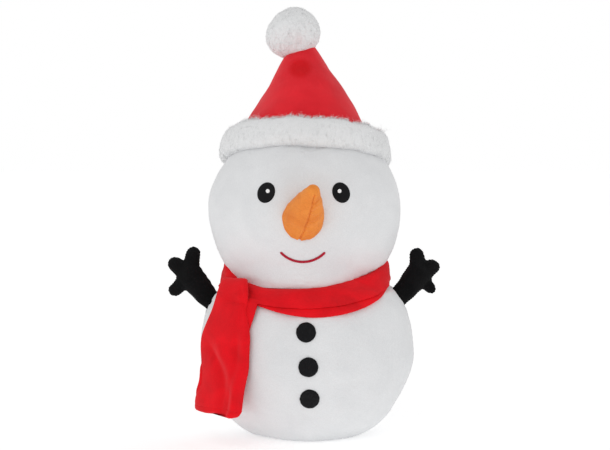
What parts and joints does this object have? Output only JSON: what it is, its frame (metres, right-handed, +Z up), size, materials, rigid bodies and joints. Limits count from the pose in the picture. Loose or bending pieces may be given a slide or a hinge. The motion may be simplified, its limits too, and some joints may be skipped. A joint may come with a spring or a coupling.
{
  "type": "plush snowman decoration",
  "caption": "Stuffed plush snowman with a leaning fur-trimmed hat and pom-pom, carrot nose, three-fingered arms, buttons and a wrapped scarf, standing on a flat base.",
  "frame": {"origin": "centre of the flat base panel, where the snowman rests on a surface", "axes": "+Z up, the face and buttons look along -Y, +X is to the right as seen from the front"},
  "size_m": [0.3369, 0.3083, 0.537],
  "materials": {
    "white_plush": "matte",
    "white_fur": "matte",
    "red_plush": "matte",
    "scarf_velvet": "matte",
    "black_plush": "matte",
    "black_felt": "matte",
    "black_thread": "satin",
    "white_thread": "satin",
    "red_thread": "satin",
    "orange_plush": "matte",
    "fibre_stuffing": "matte",
    "pellets": "matte"
  },
  "bodies": {
    "torso": {"body_panel_front_left": "white_plush", "body_panel_front_right": "white_plush", "body_panel_back_left": "white_plush", "body_panel_back_right": "white_plush", "body_base_panel": "white_plush", "body_stuffing": "fibre_stuffing", "base_weight_bag": "pellets", "button_top": "black_felt", "button_middle": "black_felt", "button_bottom": "black_felt", "scarf_neck_band": "scarf_velvet"},
    "neck": {"neck_stuffing": "fibre_stuffing"},
    "head": {"head_panel_front_left": "white_plush", "head_panel_front_right": "white_plush", "head_panel_back_left": "white_plush", "head_panel_back_right": "white_plush", "head_stuffing": "fibre_stuffing", "eye_left": "black_thread", "eye_right": "black_thread", "eye_highlight_left": "white_thread", "eye_highlight_right": "white_thread", "mouth": "red_thread", "hat_cone": "red_plush", "hat_stuffing": "fibre_stuffing", "hat_trim": "white_fur"},
    "nose": {"nose_cover": "orange_plush", "nose_stuffing": "fibre_stuffing"},
    "pompom": {"pompom_cover": "white_fur", "pompom_stuffing": "fibre_stuffing"},
    "arm_left": {"arm_cover_left": "black_plush", "arm_stuffing_left": "fibre_stuffing"},
    "arm_right": {"arm_cover_right": "black_plush", "arm_stuffing_right": "fibre_stuffing"},
    "scarf_front": {"scarf_tail_front": "scarf_velvet"},
    "scarf_back": {"scarf_tail_back": "scarf_velvet"}
  },
  "joints": [
    {"name": "head_nod", "type": "hinge", "parent": "torso", "child": "neck", "pos_m": [0, 0, 0.19], "axis": [1, 0, 0], "range_deg": [-5, 5], "stiffness_Nm_per_rad": 5},
    {"name": "head_tilt", "type": "hinge", "parent": "neck", "child": "head", "pos_m": [0, 0, 0.19], "axis": [0, 1, 0], "range_deg": [-5, 5], "stiffness_Nm_per_rad": 5},
    {"name": "nose_bend", "type": "hinge", "parent": "head", "child": "nose", "pos_m": [-0.0077, -0.1158, 0.273], "axis": [1, 0, 0], "range_deg": [-12, 12], "stiffness_Nm_per_rad": 0.2},
    {"name": "pompom_flop", "type": "hinge", "parent": "head", "child": "pompom", "pos_m": [-0.01205, 0.03931, 0.48336], "axis": [0, 1, 0], "range_deg": [-15, 15], "stiffness_Nm_per_rad": 0.12},
    {"name": "arm_left_raise", "type": "hinge", "parent": "torso", "child": "arm_left", "pos_m": [-0.11878, 0, 0.169], "axis": [0, 1, 0], "range_deg": [-45, 8], "stiffness_Nm_per_rad": 0.15},
    {"name": "arm_right_raise", "type": "hinge", "parent": "torso", "child": "arm_right", "pos_m": [0.11611, 0, 0.173], "axis": [0, -1, 0], "range_deg": [-45, 8], "stiffness_Nm_per_rad": 0.15},
    {"name": "scarf_front_lift", "type": "hinge", "parent": "torso", "child": "scarf_front", "pos_m": [-0.0995, -0.09289, 0.187], "axis": [-0.719, 0.695, 0], "range_deg": [0, 60]},
    {"name": "scarf_back_lift", "type": "hinge", "parent": "torso", "child": "scarf_back", "pos_m": [-0.09586, -0.08949, 0.167], "axis": [-0.719, 0.695, 0], "range_deg": [0, 48]}
  ],
  "couplings": [
    {"joint": "scarf_back_lift", "follows": "scarf_front_lift", "ratio": 0.8}
  ]
}
